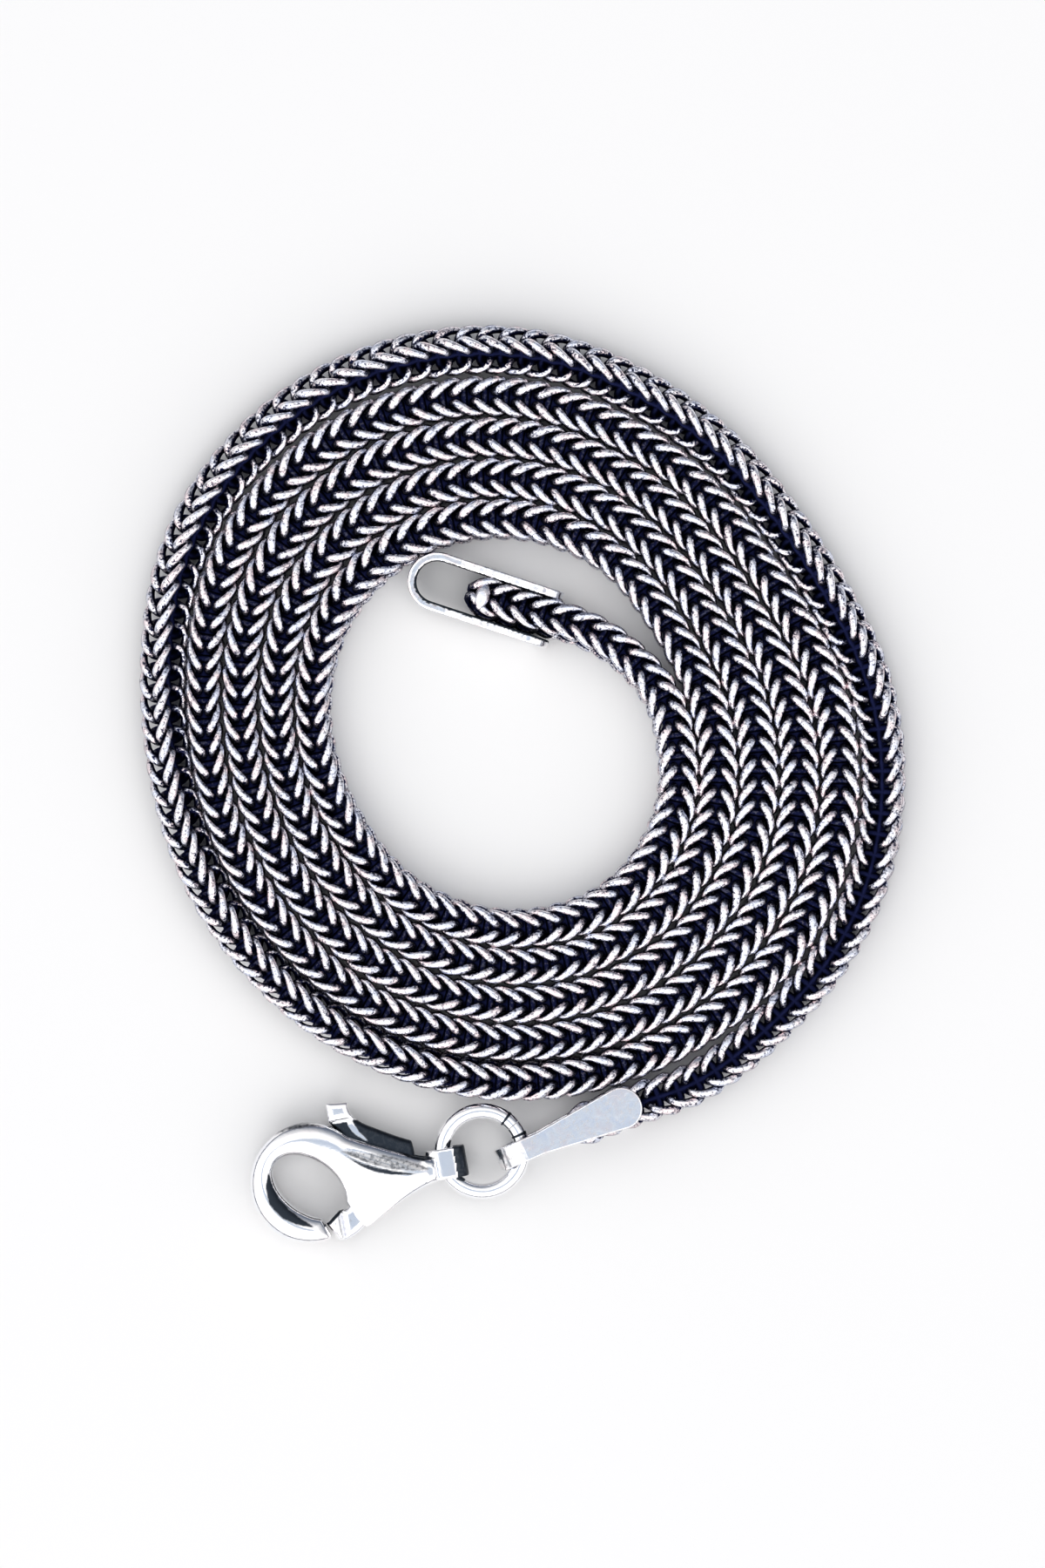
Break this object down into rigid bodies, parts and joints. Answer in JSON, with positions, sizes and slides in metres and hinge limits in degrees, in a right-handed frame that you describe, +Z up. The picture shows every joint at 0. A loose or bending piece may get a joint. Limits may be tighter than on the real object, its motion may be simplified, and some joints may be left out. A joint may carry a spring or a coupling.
{
  "type": "foxtail chain necklace, lying unclasped in a spiral",
  "caption": "Oxidised silver foxtail chain necklace with folded end caps, jump ring and lobster clasp, coiled flat in a spiral.",
  "frame": {"origin": "on the surface the necklace lies on, under the middle of its box", "axes": "+Z up off the surface, +Y from the clasp across the spiral, +X to the right of a viewer who looks down with the clasp nearest"},
  "size_m": [0.0468, 0.0564, 0.0037],
  "materials": {
    "oxidised_chain": "silver oxidised black in its hollows and polished bright on its links",
    "polished_silver": "polished silver"
  },
  "bodies": {
    "necklace": {"chain": "oxidised_chain", "inner_end_cap": "polished_silver", "outer_end_cap": "polished_silver", "jump_ring": "polished_silver", "clasp_body": "polished_silver", "pivot_pin": "polished_silver"},
    "trigger": {"clasp_trigger": "polished_silver"}
  },
  "joints": [
    {"name": "trigger_hinge", "type": "hinge", "parent": "necklace", "child": "trigger", "pos_m": [-0.00742, -0.02385, 0.00145], "axis": [0, 0, -1], "range_deg": [0, 26], "stiffness_Nm_per_rad": 0.002, "springref_deg": -22.92}
  ]
}
